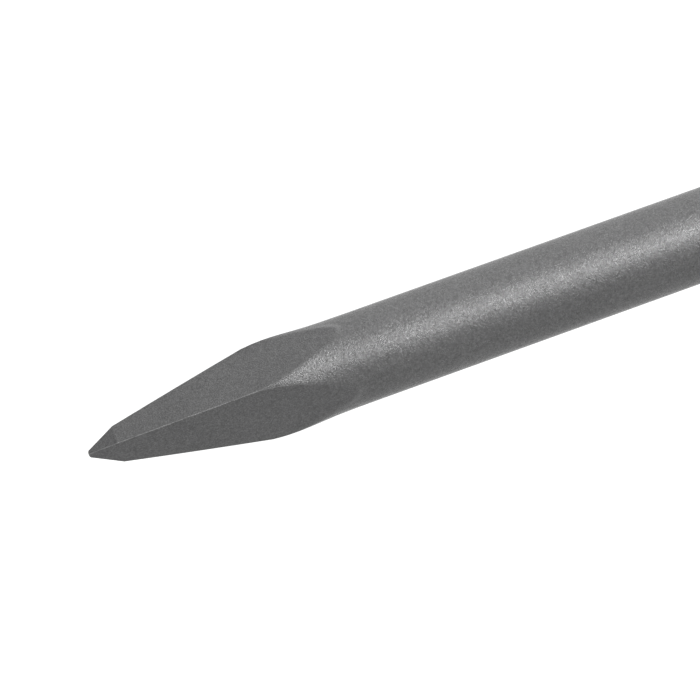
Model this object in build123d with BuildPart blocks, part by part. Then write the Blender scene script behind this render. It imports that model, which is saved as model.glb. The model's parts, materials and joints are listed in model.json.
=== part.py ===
from build123d import *
import os
from math import acos, cos, pi, radians, sin, sqrt, tan

# Electric jackhammer: an upright breaker with a square-point chisel, a crank-driven
# air-spring hammer, and a brushed motor lying across the top.
# Millimetres. +Z runs up the hammer axis, the chisel's point is at the origin, +X is
# the operator's right with the trigger, and -Y is the front with the gear cover.

MIN, MID, MAX = Align.MIN, Align.CENTER, Align.MAX
UP, DOWN = (MID, MID, MIN), (MID, MID, MAX)

# ---------------------------------------------------------------- driving dimensions
# chisel
shaft_radius = 15.0
chisel_length = 386.0
shank_flats = 28.6            # 1-1/8 inch hexagon
hex_start = 274.0
shoulder_radius = 15.84       # the forging stands proud of the bar here
shoulder_z = 64.8
runout_z = 88.0               # the four flats, slightly convex, end here
break_z = 10.0                # the steeper tip begins here
break_half = 4.25             # half the width across the flats there
mid_flat_z, mid_flat_half = 50.0, 9.95
tip_radius = 2.0
pin_radius = 8.0              # the lock pin that keeps the chisel in
pin_y = -(shank_flats / 2 + 1.0)

# travels
chisel_travel = 24.0
anvil_travel = 8.0
striker_travel = 20.0
crank_throw = 15.0

# stations along the hammer axis
nose_z = 300.0
nose_top = 430.0
lock_z = 345.0
flange_z = 412.0              # underside of the nose's bolted flange
guide_top = 462.0             # the anvil's guide, cushion, striker stop and liner are stacked
cushion_top = 468.0
stop_top = 486.0
liner_top = 652.0
crankcase_z = 640.0
crankcase_top = 749.0
crank_z = 708.0
crank_pin_z = crank_z - crank_throw
wrist_z = crank_pin_z - 83.0
play = 0.3                    # clearance between pieces that move past each other

# round sizes on the hammer axis
bush_radius = 24.0
liner_outer = 37.4
bore_radius = 37.5
cylinder_radius = 28.0
slide_radius = 27.8
stem_radius = 14.0
barrel_radius = 50.0
flange_radius = 64.0
foot_height, head_height = 14.0, 16.0      # the barrel's flanges, below and above
bolt_circle = 55.0

# screw patterns, as spacings in X and Y, and the radii of the holes
barrel_screws = (100.0, 80.0)
motor_screws = (114.0, 76.0)
tail_screw_circle = 50.0
m8_thread, m8_clear = 4.0, 4.1
m6_thread, m6_clear = 3.0, 3.2

# bearings, by outer radius
crank_bearing, cover_bearing = 20.0, 18.0
layshaft_bearing = 11.0
motor_bearing, tail_bearing = 17.5, 13.0

# gears: tooth counts and modules of the two reduction stages
pressure_angle = 25.0
motor_teeth, wheel_teeth, fine_module = 12, 44, 1.5
pinion_teeth, crank_teeth, coarse_module = 13, 48, 2.0
layshaft_z = crank_z + coarse_module * (pinion_teeth + crank_teeth) / 2
motor_z = layshaft_z + fine_module * (motor_teeth + wheel_teeth) / 2

# gear case, crankcase and motor, measured along Y
case_front = -52.0
cover_front = -104.0
crankcase_back = 52.0
motor_back = 110.0
tail_back = 152.0
case_half_x = 68.0
case_corner = 18.0
saddle_height = 14.0          # the motor's foot on the crankcase
drum_radius = 62.0
drum_inner = 56.0
brush_y = 78.0
brush_bore = 9.0
pole_radius = 34.5            # the stator's bore round the armature
air_gap = 0.6

# handle
rod_x = 90.0
rod_radius = 7.0
leg_inner, leg_outer = 111.0, 131.0
lug_height = 12.0
lower_lug_z = 652.0
bar_z = 904.0
bar_radius = 14.0
grip_start, grip_end = 168.0, 278.0
grip_radius = 19.0
frame_half_y = 18.0


def place(x, y, z, toward):
    """A location at a point, with its local Z pointing toward a direction."""
    return Plane(origin=(x, y, z), z_dir=toward).location


def front_plane(y):
    """The XZ plane at this y, drawn as seen from the front."""
    return Plane.XZ.offset(-y)


def ring_y(y_from, y_to, z, inner, outer):
    """A ring about a line along Y."""
    with BuildPart() as ring:
        with BuildSketch(front_plane(y_from)):
            with Locations((0, z)):
                Circle(outer)
                Circle(inner, mode=Mode.SUBTRACT)
        extrude(amount=y_from - y_to)
    return ring


def ring_z(z_from, z_to, inner, outer):
    """A ring about the hammer axis."""
    with BuildPart() as ring:
        with BuildSketch(Plane.XY.offset(z_from)):
            Circle(outer)
            Circle(inner, mode=Mode.SUBTRACT)
        extrude(amount=z_to - z_from)
    return ring


def socket_bolt(thread, length):
    """A socket-head cap screw: its seat at the origin, its head above, its shank below."""
    head_radius, head_height = thread * 0.78, thread
    with BuildPart() as bolt:
        Cylinder(head_radius, head_height, align=UP)
        chamfer(bolt.edges().filter_by(GeomType.CIRCLE).sort_by(Axis.Z)[-1], thread * 0.08)
        with BuildSketch(Plane.XY.offset(head_height)):
            RegularPolygon(thread * 0.46, 6)
        extrude(amount=-thread * 0.6, mode=Mode.SUBTRACT)
        Cylinder(thread * 0.49, length, align=DOWN)
    return bolt.part


def group(piece, places):
    """One node holding the same piece at several places."""
    with BuildPart() as copies:
        with Locations(*places):
            add(piece)
    return copies


def gear_outline(teeth, module, first_angle):
    """The wire of an involute gear about the sketch origin, with a tooth at first_angle."""
    pitch = teeth * module / 2
    base = pitch * cos(radians(pressure_angle))
    tip = pitch + 0.8 * module
    root = pitch - 1.05 * module
    backlash = 0.04 * module

    def spread(radius):
        """Half the tooth's angle at this radius."""
        def involute(r):
            a = acos(min(1.0, base / r))
            return tan(a) - a
        half = pi / (2 * teeth) - backlash / pitch
        return half + involute(pitch) - involute(max(radius, base))

    def at(radius, angle):
        return (radius * cos(angle), radius * sin(angle))

    start = max(base, root + 0.05 * module)
    flank = [start + (tip - start) * k / 3 for k in range(4)]
    for tooth in range(teeth):
        centre = radians(first_angle) + 2 * pi * tooth / teeth
        after = centre + 2 * pi / teeth
        rising = [at(r, centre - spread(r)) for r in flank]
        falling = [at(r, centre + spread(r)) for r in reversed(flank)]
        Line(at(root, centre - spread(root)), rising[0])
        Spline(*rising)
        ThreePointArc(rising[-1], at(tip, centre), falling[0])
        Spline(*falling)
        Line(falling[-1], at(root, centre + spread(root)))
        valley = pi / teeth
        ThreePointArc(at(root, centre + spread(root)), at(root, centre + valley),
                      at(root, after - spread(root)))


def spur_gear(teeth, module, first_angle, y_from, y_to, z, bore, web=0.0):
    """A spur gear about a line along Y, with an optional recess in both faces."""
    with BuildPart() as gear:
        with BuildSketch(Plane(origin=(0, y_from, z), x_dir=(1, 0, 0), z_dir=(0, -1, 0))):
            with BuildLine():
                gear_outline(teeth, module, first_angle)
            make_face()
            if bore:
                Circle(bore, mode=Mode.SUBTRACT)
        extrude(amount=y_from - y_to)
        if web:
            rim = teeth * module / 2 - 2.6 * module
            for y, toward in ((y_from, 1), (y_to, -1)):
                with BuildSketch(Plane(origin=(0, y, z), x_dir=(1, 0, 0), z_dir=(0, -1, 0))):
                    Circle(rim)
                    Circle(bore + 6, mode=Mode.SUBTRACT)
                extrude(amount=-web * toward, mode=Mode.SUBTRACT)
    return gear


pieces = {}

# ---------------------------------------------------------------- chisel
# The hexagon, with both of its ends turned to a cone.
with BuildPart() as hex_shank:
    with BuildSketch(Plane.XY.offset(hex_start)):
        RegularPolygon(shank_flats / 2, 6, major_radius=False)
    extrude(amount=chisel_length - hex_start)
    with BuildSketch(Plane.XZ):
        with BuildLine():
            Polyline((0, hex_start), (shaft_radius - 1, hex_start), (17, hex_start + 9),
                     (17, chisel_length - 8), (12, chisel_length), (0, chisel_length), close=True)
        make_face()
    revolve(axis=Axis.Z, mode=Mode.INTERSECT)

# The four flats, as the outline that each opposite pair makes. Past the run-out the
# outline opens wider than the bar, and so leaves it round.
open_half, open_z = 20.0, 131.0
with BuildPart() as square_point:
    for turn in (45, -45):
        side = Plane(origin=(0, 0, 0), x_dir=(cos(radians(turn)), sin(radians(turn)), 0),
                     z_dir=(sin(radians(turn)), -cos(radians(turn)), 0))
        with BuildSketch(side):
            with BuildLine():
                flat = ThreePointArc((break_half, break_z), (mid_flat_half, mid_flat_z),
                                     (shaft_radius, runout_z))
                Polyline(flat @ 1, (open_half, open_z), (open_half, hex_start + 5), (0, hex_start + 5),
                         (0, -1.9), flat @ 0)
            make_face()
            mirror(about=Plane.YZ)
        extrude(amount=30, both=True, mode=Mode.ADD if turn > 0 else Mode.INTERSECT)

with BuildPart() as point_chisel:
    with BuildSketch(Plane.XZ):
        with BuildLine():
            nose_arc = ThreePointArc((0, 0), (tip_radius * sin(pi / 4), tip_radius * (1 - cos(pi / 4))),
                                     (tip_radius, tip_radius))
            neck = Polyline(nose_arc @ 1, (14, 20), (14, 48))
            forged = Spline(neck @ 1, (shoulder_radius, shoulder_z), (shaft_radius + 0.3, 76),
                            (shaft_radius, 92), tangents=((0.2, 1), (0, 1)))
            Polyline(forged @ 1, (shaft_radius, hex_start + 4), (0, hex_start + 4), (0, 0))
        make_face()
    revolve(axis=Axis.Z)
    add(square_point.part, mode=Mode.INTERSECT)
    add(hex_shank.part)
    # the notch that the lock pin sits in, long enough for the chisel's travel
    notch_reach = chisel_travel + 1.0
    with BuildSketch(Plane.YZ):
        with Locations((pin_y, lock_z - chisel_travel / 2)):
            SlotCenterToCenter(notch_reach, 2 * (pin_radius + 0.5), rotation=90)
    extrude(amount=30, both=True, mode=Mode.SUBTRACT)
pieces["point_chisel"] = point_chisel

# ---------------------------------------------------------------- tool holder
bush_top = 398.0
mouth_radius, body_radius = 34.0, 38.0
flare_z = 392.0               # the body widens to the flange from here
bolt_offset = bolt_circle * sqrt(0.5)
with BuildPart() as nose_housing:
    with BuildSketch(Plane.XZ):
        with BuildLine():
            Polyline((bush_radius, nose_z), (mouth_radius - 2, nose_z), (mouth_radius, nose_z + 2),
                     (mouth_radius, nose_z + 24), (body_radius, nose_z + 28), (body_radius, flare_z))
            RadiusArc((body_radius, flare_z), (barrel_radius, flange_z), -26)
            Polyline((barrel_radius, flange_z), (flange_radius - 1, flange_z),
                     (flange_radius, flange_z + 1), (flange_radius, nose_top),
                     (bore_radius, nose_top), (bore_radius, flange_z), (18, flange_z), (18, bush_top),
                     (bush_radius, bush_top), (bush_radius, nose_z))
        make_face()
    revolve(axis=Axis.Z)
    # cross boss for the lock pin
    with BuildSketch(Plane.YZ):
        with Locations((pin_y, lock_z)):
            Circle(14.5)
    extrude(amount=41.5, both=True)
    with BuildSketch(Plane.XY.offset(nose_z - 1)):
        Circle(bush_radius)
    extrude(amount=bush_top - nose_z + 1, mode=Mode.SUBTRACT)
    with Locations(place(0, pin_y, lock_z, (1, 0, 0))):
        Cylinder(pin_radius + 0.05, 90, mode=Mode.SUBTRACT)
    # bolt holes, with flat seats for the heads cut into the flare
    for radius, z, depth in ((m8_clear, flange_z, nose_top - flange_z), (7.2, flange_z, -12)):
        with BuildSketch(Plane.XY.offset(z)):
            with PolarLocations(bolt_circle, 4, start_angle=45):
                Circle(radius)
        extrude(amount=depth, mode=Mode.SUBTRACT)
pieces["nose_housing"] = nose_housing

with BuildPart() as hex_bushing:
    with BuildSketch(Plane.XY.offset(nose_z + 3)):
        Circle(bush_radius)
        RegularPolygon(shank_flats / 2 + play, 6, major_radius=False, mode=Mode.SUBTRACT)
    extrude(amount=bush_top - nose_z - 3)
    with Locations(place(0, pin_y, lock_z, (1, 0, 0))):
        Cylinder(pin_radius + 0.05, 90, mode=Mode.SUBTRACT)
pieces["hex_bushing"] = hex_bushing

with BuildPart() as dust_seal:
    with BuildSketch(Plane.XZ):
        with BuildLine():
            Polyline((17.2, nose_z - 11), (22, nose_z - 11))
            RadiusArc((22, nose_z - 11), (31.5, nose_z), -12)
            Polyline((31.5, nose_z), (bush_radius, nose_z), (bush_radius, nose_z + 3),
                     (19.5, nose_z + 3), (19.5, nose_z - 3), (17.2, nose_z - 6), (17.2, nose_z - 11))
        make_face()
    revolve(axis=Axis.Z)
pieces["dust_seal"] = dust_seal

# Half-round lock pin with its lever: the round half stands in the chisel's notch.
lever_x, lever_width = 42.0, 8.0
with BuildPart() as lock_pin:
    with Locations(place(-lever_x - 4, pin_y, lock_z, (1, 0, 0))):
        Cylinder(pin_radius, 2 * lever_x + lever_width + 4, align=UP)
        Cylinder(11, 3.5, align=UP)
    chamfer(lock_pin.edges().filter_by(GeomType.CIRCLE).sort_by(Axis.X)[-1], 0.8)
    with Locations((0, pin_y - 0.6, lock_z)):
        Box(52, 20, 20, align=(MID, MAX, MID), mode=Mode.SUBTRACT)
    with Locations(place(lever_x + lever_width, pin_y, lock_z, (1, 0, 0))):
        Hole(2.6, depth=14)
pieces["lock_pin"] = lock_pin

with BuildPart() as lock_lever:
    with BuildSketch(Plane.YZ.offset(lever_x)):
        with Locations((pin_y, lock_z)):
            Circle(13)
        with Locations((pin_y - 3, lock_z - 34)):
            Circle(9)
        make_hull()
        with Locations((pin_y, lock_z)):
            Circle(pin_radius, mode=Mode.SUBTRACT)
    extrude(amount=lever_width)
    fillet(lock_lever.faces().sort_by(Axis.X)[-1].outer_wire().edges(), 2)
pieces["lock_lever"] = lock_lever

with BuildPart() as lever_screw:
    with Locations(place(lever_x + lever_width, pin_y, lock_z, (1, 0, 0))):
        Cylinder(10.5, 1.5, align=UP)
    with Locations(place(lever_x + lever_width + 1.5, pin_y, lock_z, (1, 0, 0))):
        add(socket_bolt(5, 14))
pieces["lever_screw"] = lever_screw

# ---------------------------------------------------------------- barrel and hammer parts
with BuildPart() as barrel_housing:
    with BuildSketch(Plane.XY.offset(nose_top)):
        Circle(barrel_radius)
    extrude(amount=crankcase_z - nose_top)
    with BuildSketch(Plane.XY.offset(nose_top)):
        Circle(flange_radius)
    extrude(amount=foot_height)
    chamfer(barrel_housing.edges().filter_by(GeomType.CIRCLE)
            .filter_by(lambda e: e.radius > flange_radius - 0.1), 1)
    # a boss round each nose bolt, with a stepped top
    for height, radius in ((38, 9), (42, 6.5)):
        with BuildSketch(Plane.XY.offset(nose_top)):
            with PolarLocations(bolt_circle, 4, start_angle=45):
                Circle(radius)
        extrude(amount=height)
    with BuildSketch(Plane.XY.offset(crankcase_z - head_height)):
        RectangleRounded(2 * case_half_x, crankcase_back - case_front, case_corner)
    extrude(amount=head_height)
    # cooling ribs
    with BuildSketch(Plane.XY.offset(nose_top + foot_height)):
        with PolarLocations(barrel_radius + 1.5, 24, start_angle=7.5):
            RectangleRounded(7, 3.2, 1.4)
    extrude(amount=crankcase_z - nose_top - foot_height - head_height)
    with BuildSketch(Plane.XY.offset(nose_top)):
        Circle(bore_radius)
    extrude(amount=crankcase_z - nose_top, mode=Mode.SUBTRACT)
    with BuildSketch(Plane.XY.offset(nose_top)):
        with PolarLocations(bolt_circle, 4, start_angle=45):
            Circle(m8_thread)
    extrude(amount=30, mode=Mode.SUBTRACT)
    with BuildSketch(Plane.XY.offset(crankcase_z - head_height)):
        with GridLocations(*barrel_screws, 2, 2):
            Circle(m8_clear)
    extrude(amount=head_height, mode=Mode.SUBTRACT)
pieces["barrel_housing"] = barrel_housing

pieces["housing_bolts"] = group(
    socket_bolt(8, 26),
    [place(barrel_screws[0] / 2 * i, barrel_screws[1] / 2 * j, crankcase_z - head_height, (0, 0, -1))
     for i in (-1, 1) for j in (-1, 1)]
    + [place(bolt_offset * i, bolt_offset * j, flange_z, (0, 0, -1)) for i in (-1, 1) for j in (-1, 1)])

collar_bore = 23.0            # the anvil's collar slides in this
with BuildPart() as anvil_guide:
    with BuildSketch(Plane.XZ):
        with BuildLine():
            Polyline((stem_radius + 0.05, flange_z), (liner_outer, flange_z), (liner_outer, guide_top),
                     (collar_bore, guide_top), (collar_bore, nose_top), (stem_radius + 0.05, nose_top),
                     close=True)
        make_face()
    revolve(axis=Axis.Z)
pieces["anvil_guide"] = anvil_guide
pieces["cushion_ring"] = ring_z(guide_top, cushion_top, stem_radius + 2, liner_outer)
pieces["striker_stop"] = ring_z(cushion_top, stop_top, stem_radius + 0.05, liner_outer)
pieces["cylinder_liner"] = ring_z(stop_top, liner_top, cylinder_radius, liner_outer)

anvil_length = 79.5
anvil_z = chisel_length + chisel_travel + 0.5 - anvil_travel
with BuildPart() as anvil:
    with BuildSketch(Plane.XZ):
        with BuildLine():
            Polyline((0, anvil_z), (stem_radius - 1.5, anvil_z), (stem_radius, anvil_z + 1.5),
                     (stem_radius, anvil_z + 29.5), (20, anvil_z + 29.5), (22, anvil_z + 31.5),
                     (22, anvil_z + 43.5), (stem_radius, anvil_z + 48.5), (stem_radius, anvil_z + 78),
                     (stem_radius - 1.5, anvil_z + anvil_length), (0, anvil_z + anvil_length), close=True)
        make_face()
    revolve(axis=Axis.Z)
pieces["anvil"] = anvil

striker_length = 70.0
striker_z = anvil_z + anvil_length + anvil_travel + play
with BuildPart() as striker:
    with BuildSketch(Plane.XZ):
        with BuildLine():
            Polyline((0, striker_z), (16, striker_z), (18, striker_z + 2), (18, striker_z + 12),
                     (slide_radius, striker_z + 16), (slide_radius, striker_z + striker_length),
                     (0, striker_z + striker_length), close=True)
        make_face()
        for groove in (48, 58):
            with Locations((slide_radius, striker_z + groove)):
                Rectangle(5, 3.2, mode=Mode.SUBTRACT)
    revolve(axis=Axis.Z)
pieces["striker"] = striker


def slide_rings(heights):
    """Sealing rings, standing 0.1 mm proud of the piece that carries them."""
    with BuildPart() as rings:
        for z in heights:
            add(ring_z(z - 1.5, z + 1.5, slide_radius - 2.4, slide_radius + 0.1).part)
    return rings


pieces["striker_rings"] = slide_rings([striker_z + 48, striker_z + 58])

piston_z = striker_z + striker_length + striker_travel + 5
piston_top = wrist_z + 24
with BuildPart() as piston:
    with BuildSketch(Plane.XZ):
        with BuildLine():
            Polyline((0, piston_z), (slide_radius, piston_z), (slide_radius, piston_top),
                     (0, piston_top), close=True)
        make_face()
        for groove in (5, 11):
            with Locations((slide_radius, piston_z + groove)):
                Rectangle(5, 3.2, mode=Mode.SUBTRACT)
    revolve(axis=Axis.Z)
    with Locations((0, 0, wrist_z - 16)):
        Box(34, 16.6, 60, align=UP, mode=Mode.SUBTRACT)
    with Locations(place(0, 0, wrist_z, (0, 1, 0))):
        Cylinder(7.0, 70, mode=Mode.SUBTRACT)
pieces["piston"] = piston
pieces["piston_rings"] = slide_rings([piston_z + 5, piston_z + 11])

with BuildPart() as wrist_pin:
    with Locations(place(0, 0, wrist_z, (0, 1, 0))):
        Cylinder(6.95, 50)
        Cylinder(3.5, 50, mode=Mode.SUBTRACT)
pieces["wrist_pin"] = wrist_pin

with BuildPart() as connecting_rod:
    with BuildSketch(Plane.XZ):
        with Locations((0, wrist_z)):
            Circle(13)
        with Locations((0, crank_pin_z)):
            Circle(19)
        with BuildLine():
            Polyline((-9, wrist_z), (9, wrist_z), (12, crank_pin_z), (-12, crank_pin_z), close=True)
        make_face()
        with Locations((0, wrist_z)):
            Circle(7.0, mode=Mode.SUBTRACT)
        with Locations((0, crank_pin_z)):
            Circle(13, mode=Mode.SUBTRACT)
    extrude(amount=8, both=True)
    for toward in (-1, 1):
        with BuildSketch(Plane.XZ.offset(8 * toward)):
            with Locations((0, (wrist_z + crank_pin_z) / 2 - 2)):
                SlotOverall(44, 9, rotation=90)
        extrude(amount=-4 * toward, mode=Mode.SUBTRACT)
pieces["connecting_rod"] = connecting_rod
pieces["big_end_bearing"] = ring_y(-8, 8, crank_pin_z, 9, 12.95)

# ---------------------------------------------------------------- crank and gears
# The crank pin stops short of the connecting rod's eye, so both can move on their own.
with BuildPart() as crankshaft:
    with Locations(place(0, -34, crank_z, (0, -1, 0))):
        Cylinder(10, 64, align=UP)
    with Locations(place(0, -20, crank_z, (0, -1, 0))):
        Cylinder(29, 12, align=UP)
    with Locations(place(0, -32, crank_z, (0, -1, 0))):
        Cylinder(14, 3, align=UP)
    with Locations(place(0, -8.5, crank_pin_z, (0, -1, 0))):
        Cylinder(8.9, 12, align=UP)
    # the web is cut away beside the pin, so the rest balances it
    with Locations((0, -26, crank_z - 14)):
        with GridLocations(56, 1, 2, 1):
            Box(16, 14, 34, mode=Mode.SUBTRACT)
pieces["crankshaft"] = crankshaft

pieces["crank_gear"] = spur_gear(crank_teeth, coarse_module, 90, -56, -72, crank_z, 10, web=4)

with BuildPart() as layshaft:
    add(spur_gear(pinion_teeth, coarse_module, 270 + 180 / pinion_teeth, -55, -74, layshaft_z, 0).part)
    with Locations(place(0, -43, layshaft_z, (0, -1, 0))):
        Cylinder(5, 53, align=UP)
    with Locations(place(0, -53, layshaft_z, (0, -1, 0))):
        Cylinder(8, 2, align=UP)
pieces["layshaft"] = layshaft
pieces["layshaft_gear"] = spur_gear(wheel_teeth, fine_module, 90, -77, -87, layshaft_z, 5, web=2.5)
with BuildPart() as shaft_bearings:
    add(ring_y(-50, -37, crank_z, 10.02, crank_bearing).part)
    add(ring_y(-95, -84, crank_z, 10.02, cover_bearing).part)
    add(ring_y(-51.5, -43, layshaft_z, 5.02, layshaft_bearing).part)
    add(ring_y(-96, -89, layshaft_z, 5.02, layshaft_bearing).part)
    add(ring_y(-51, -42.5, motor_z, 8.02, motor_bearing).part)
    add(ring_y(98, 107, motor_z, 6.02, tail_bearing).part)
pieces["shaft_bearings"] = shaft_bearings

# ---------------------------------------------------------------- crankcase
rod_places = [(-rod_x, 0), (rod_x, 0)]
cover_bolts_low = [(x, crank_z - 24) for x in (-60, 60)] + [(x, crank_z - 57) for x in (-33, 33)]
cover_bolts_high = [(x, motor_z - 8) for x in (-50, 50)] + [(x, motor_z + 34) for x in (-27, 27)]
sight_x, sight_z = -24.0, 690.0
filler_x, filler_z = 26.0, 722.0
sight_place = place(sight_x, crankcase_back, sight_z, (0, 1, 0))
filler_place = place(filler_x, crankcase_back, filler_z, (0, 1, 0))
with BuildPart() as crankcase:
    with BuildSketch(Plane.XY.offset(crankcase_z)):
        RectangleRounded(2 * case_half_x, crankcase_back - case_front, case_corner)
    extrude(amount=crankcase_top - crankcase_z)
    # flat front face under the gear cover
    with Locations((0, case_front, (crankcase_z + crankcase_top) / 2)):
        Box(2 * case_half_x, 20, crankcase_top - crankcase_z, align=(MID, MIN, MID))
    # lugs for the guide rods, above and below the handle's slide
    for z in (lower_lug_z, crankcase_top - lug_height):
        with BuildSketch(Plane.XY.offset(z)):
            SlotOverall(2 * (rod_x + frame_half_y), 2 * frame_half_y)
        extrude(amount=lug_height)
    # side ribs between the lugs
    for y in (-26, 26):
        with Locations((0, y, lower_lug_z)):
            Box(2 * case_half_x + 8, 5, crankcase_top - lower_lug_z, align=UP)
    # crank chamber
    with Locations((0, -35, lower_lug_z)):
        Box(100, 77, crankcase_top - 5 - lower_lug_z, align=(MID, MIN, MIN), mode=Mode.SUBTRACT)
    with BuildSketch(Plane.XY.offset(crankcase_z)):
        Circle(bore_radius)
    extrude(amount=20, mode=Mode.SUBTRACT)
    with Locations(place(0, case_front - 1, crank_z, (0, 1, 0))):
        Cylinder(crank_bearing, 20, align=UP, mode=Mode.SUBTRACT)
    # screw holes: gear cover, barrel, motor, guide rods, oil fittings
    with BuildSketch(front_plane(case_front)):
        with Locations(*cover_bolts_low):
            Circle(m6_thread)
    extrude(amount=-14, mode=Mode.SUBTRACT)
    with BuildSketch(Plane.XY.offset(crankcase_z)):
        with GridLocations(*barrel_screws, 2, 2):
            Circle(m8_thread)
    extrude(amount=11, mode=Mode.SUBTRACT)
    with BuildSketch(Plane.XY.offset(crankcase_top)):
        with GridLocations(*motor_screws, 2, 2):
            Circle(m6_thread)
    extrude(amount=-16, mode=Mode.SUBTRACT)
    with BuildSketch(Plane.XY.offset(lower_lug_z)):
        with Locations(*rod_places):
            Circle(rod_radius)
    extrude(amount=crankcase_top - lower_lug_z, mode=Mode.SUBTRACT)
    with Locations(sight_place, filler_place):
        Hole(8.0, depth=12)
pieces["crankcase"] = crankcase

with BuildPart() as sight_glass_bezel:
    with Locations(sight_place):
        Cylinder(14, 4, align=UP)
        Cylinder(8.0, 10, align=DOWN)
        Cylinder(6.5, 40, mode=Mode.SUBTRACT)
    chamfer(sight_glass_bezel.edges().filter_by(GeomType.CIRCLE).group_by(Axis.Y)[-1], 0.8)
pieces["sight_glass_bezel"] = sight_glass_bezel

with BuildPart() as sight_glass:
    with Locations(place(sight_x, crankcase_back - 5, sight_z, (0, 1, 0))):
        Cylinder(6.5, 7, align=UP)
pieces["sight_glass"] = sight_glass

with BuildPart() as oil_filler_cap:
    with Locations(filler_place):
        Cylinder(8.0, 11, align=DOWN)
        Cylinder(13, 6, align=UP)
    # finger flutes round the rim, and a hexagon for a spanner
    with BuildSketch(front_plane(crankcase_back)):
        with Locations((filler_x, filler_z)):
            with PolarLocations(14, 12):
                Circle(2)
    extrude(amount=-6, mode=Mode.SUBTRACT)
    with BuildSketch(front_plane(crankcase_back + 6)):
        with Locations((filler_x, filler_z)):
            RegularPolygon(6, 6, major_radius=False)
    extrude(amount=-5)
pieces["oil_filler_cap"] = oil_filler_cap

# ---------------------------------------------------------------- gear cover
boss_depth = 16.0             # how far the screw bosses stand out from the joint face
cover_wall = 6.0
with BuildPart() as gear_cover:
    def cover_outline(shrink):
        """The tangent outline round the crank gear and the motor pinion."""
        with BuildSketch(front_plane(case_front)) as outline:
            with Locations((0, crank_z)):
                Circle(59 - shrink)
            with Locations((0, motor_z - 11)):
                Circle(45 - shrink)
            make_hull()
        return outline.sketch

    extrude(cover_outline(0), amount=case_front - cover_front)
    fillet(gear_cover.faces().sort_by(Axis.Y)[0].edges(), 9)
    # screw bosses
    with BuildSketch(front_plane(case_front)):
        with Locations(*cover_bolts_low, *cover_bolts_high):
            Circle(8)
    extrude(amount=boss_depth)
    extrude(cover_outline(cover_wall), amount=case_front - cover_front - cover_wall - 1,
            mode=Mode.SUBTRACT)
    # bearing seats on the inside of the front wall
    with Locations(place(0, cover_front + cover_wall, crank_z, (0, 1, 0))):
        Cylinder(cover_bearing + 6, 14, align=UP)
    with Locations(place(0, cover_front + cover_wall, layshaft_z, (0, 1, 0))):
        Cylinder(layshaft_bearing + 4, 9, align=UP)
    with Locations(place(0, -95, crank_z, (0, 1, 0))):
        Cylinder(cover_bearing, 20, align=UP, mode=Mode.SUBTRACT)
    with Locations(place(0, -99, crank_z, (0, 1, 0))):
        Cylinder(11, 20, align=UP, mode=Mode.SUBTRACT)
    with Locations(place(0, -97, layshaft_z, (0, 1, 0))):
        Cylinder(layshaft_bearing, 20, align=UP, mode=Mode.SUBTRACT)
    # round pad and stiffening ribs on the outside
    with Locations(place(0, cover_front + 1, crank_z, (0, -1, 0))):
        Cylinder(30, 4, align=UP)
    for x in (-16, 0, 16):
        with Locations((x, cover_front - 2, crank_z)):
            Box(4, 3, motor_z + 14 - abs(x) / 2 - crank_z, align=(MID, MIN, MIN))
    for radius, y in ((m6_clear, case_front), (5.4, case_front - boss_depth)):
        with BuildSketch(front_plane(y)):
            with Locations(*cover_bolts_low, *cover_bolts_high):
                Circle(radius)
        extrude(amount=60, mode=Mode.SUBTRACT)
pieces["gear_cover"] = gear_cover

pieces["gear_cover_bolts"] = group(
    socket_bolt(6, 23.5),
    [place(x, case_front - boss_depth, z, (0, -1, 0)) for x, z in cover_bolts_low + cover_bolts_high])

# ---------------------------------------------------------------- motor
drum_middle = (case_front + crankcase_back) / 2
with BuildPart() as motor_housing:
    with BuildSketch(front_plane(case_front)):
        with Locations((0, motor_z)):
            Circle(drum_radius)
    extrude(amount=case_front - motor_back)
    with Locations((0, drum_middle, crankcase_top)):
        Box(2 * case_half_x, crankcase_back - case_front, saddle_height, align=UP)
        Box(84, crankcase_back - case_front, 2 * saddle_height, align=UP)
    # bosses for the brush caps
    with Locations(place(0, brush_y, motor_z, (1, 0, 0))):
        Cylinder(14, 2 * drum_radius + 8)
    # ribs along the drum
    for angle in (20, 40, 60, 80, 100, 120, 140, 160):
        x, z = drum_radius * cos(radians(angle)), drum_radius * sin(radians(angle))
        with Locations(Location((x, -12, motor_z + z), (0, -angle, 0))):
            Box(4, 40, 3.2)
    with BuildSketch(front_plane(case_front + 10)):
        with Locations((0, motor_z)):
            Circle(drum_inner)
    extrude(amount=-200, mode=Mode.SUBTRACT)
    # seats in the front wall
    with Locations(place(0, case_front, motor_z, (0, 1, 0))):
        Cylinder(motor_bearing, 20, mode=Mode.SUBTRACT)
    with Locations(place(0, case_front, layshaft_z, (0, 1, 0))):
        Cylinder(layshaft_bearing, 20, mode=Mode.SUBTRACT)
    # air outlets round the fan
    for angle in range(-30, 211, 20):
        x, z = drum_radius * cos(radians(angle)), drum_radius * sin(radians(angle))
        with Locations(Location((x, case_front + 24, motor_z + z), (0, -angle, 0))):
            Box(30, 16, 7, mode=Mode.SUBTRACT)
    with Locations(place(0, brush_y, motor_z, (1, 0, 0))):
        Cylinder(brush_bore, 200, mode=Mode.SUBTRACT)
    with BuildSketch(front_plane(case_front)):
        with Locations(*cover_bolts_high):
            Circle(m6_thread)
    extrude(amount=-8, mode=Mode.SUBTRACT)
    with BuildSketch(Plane.XY.offset(crankcase_top)):
        with GridLocations(*motor_screws, 2, 2):
            Circle(m6_clear)
    extrude(amount=saddle_height, mode=Mode.SUBTRACT)
pieces["motor_housing"] = motor_housing

pieces["motor_bolts"] = group(
    socket_bolt(6, 29),
    [place(motor_screws[0] / 2 * i, motor_screws[1] / 2 * j, crankcase_top + saddle_height, (0, 0, 1))
     for i in (-1, 1) for j in (-1, 1)])


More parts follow.
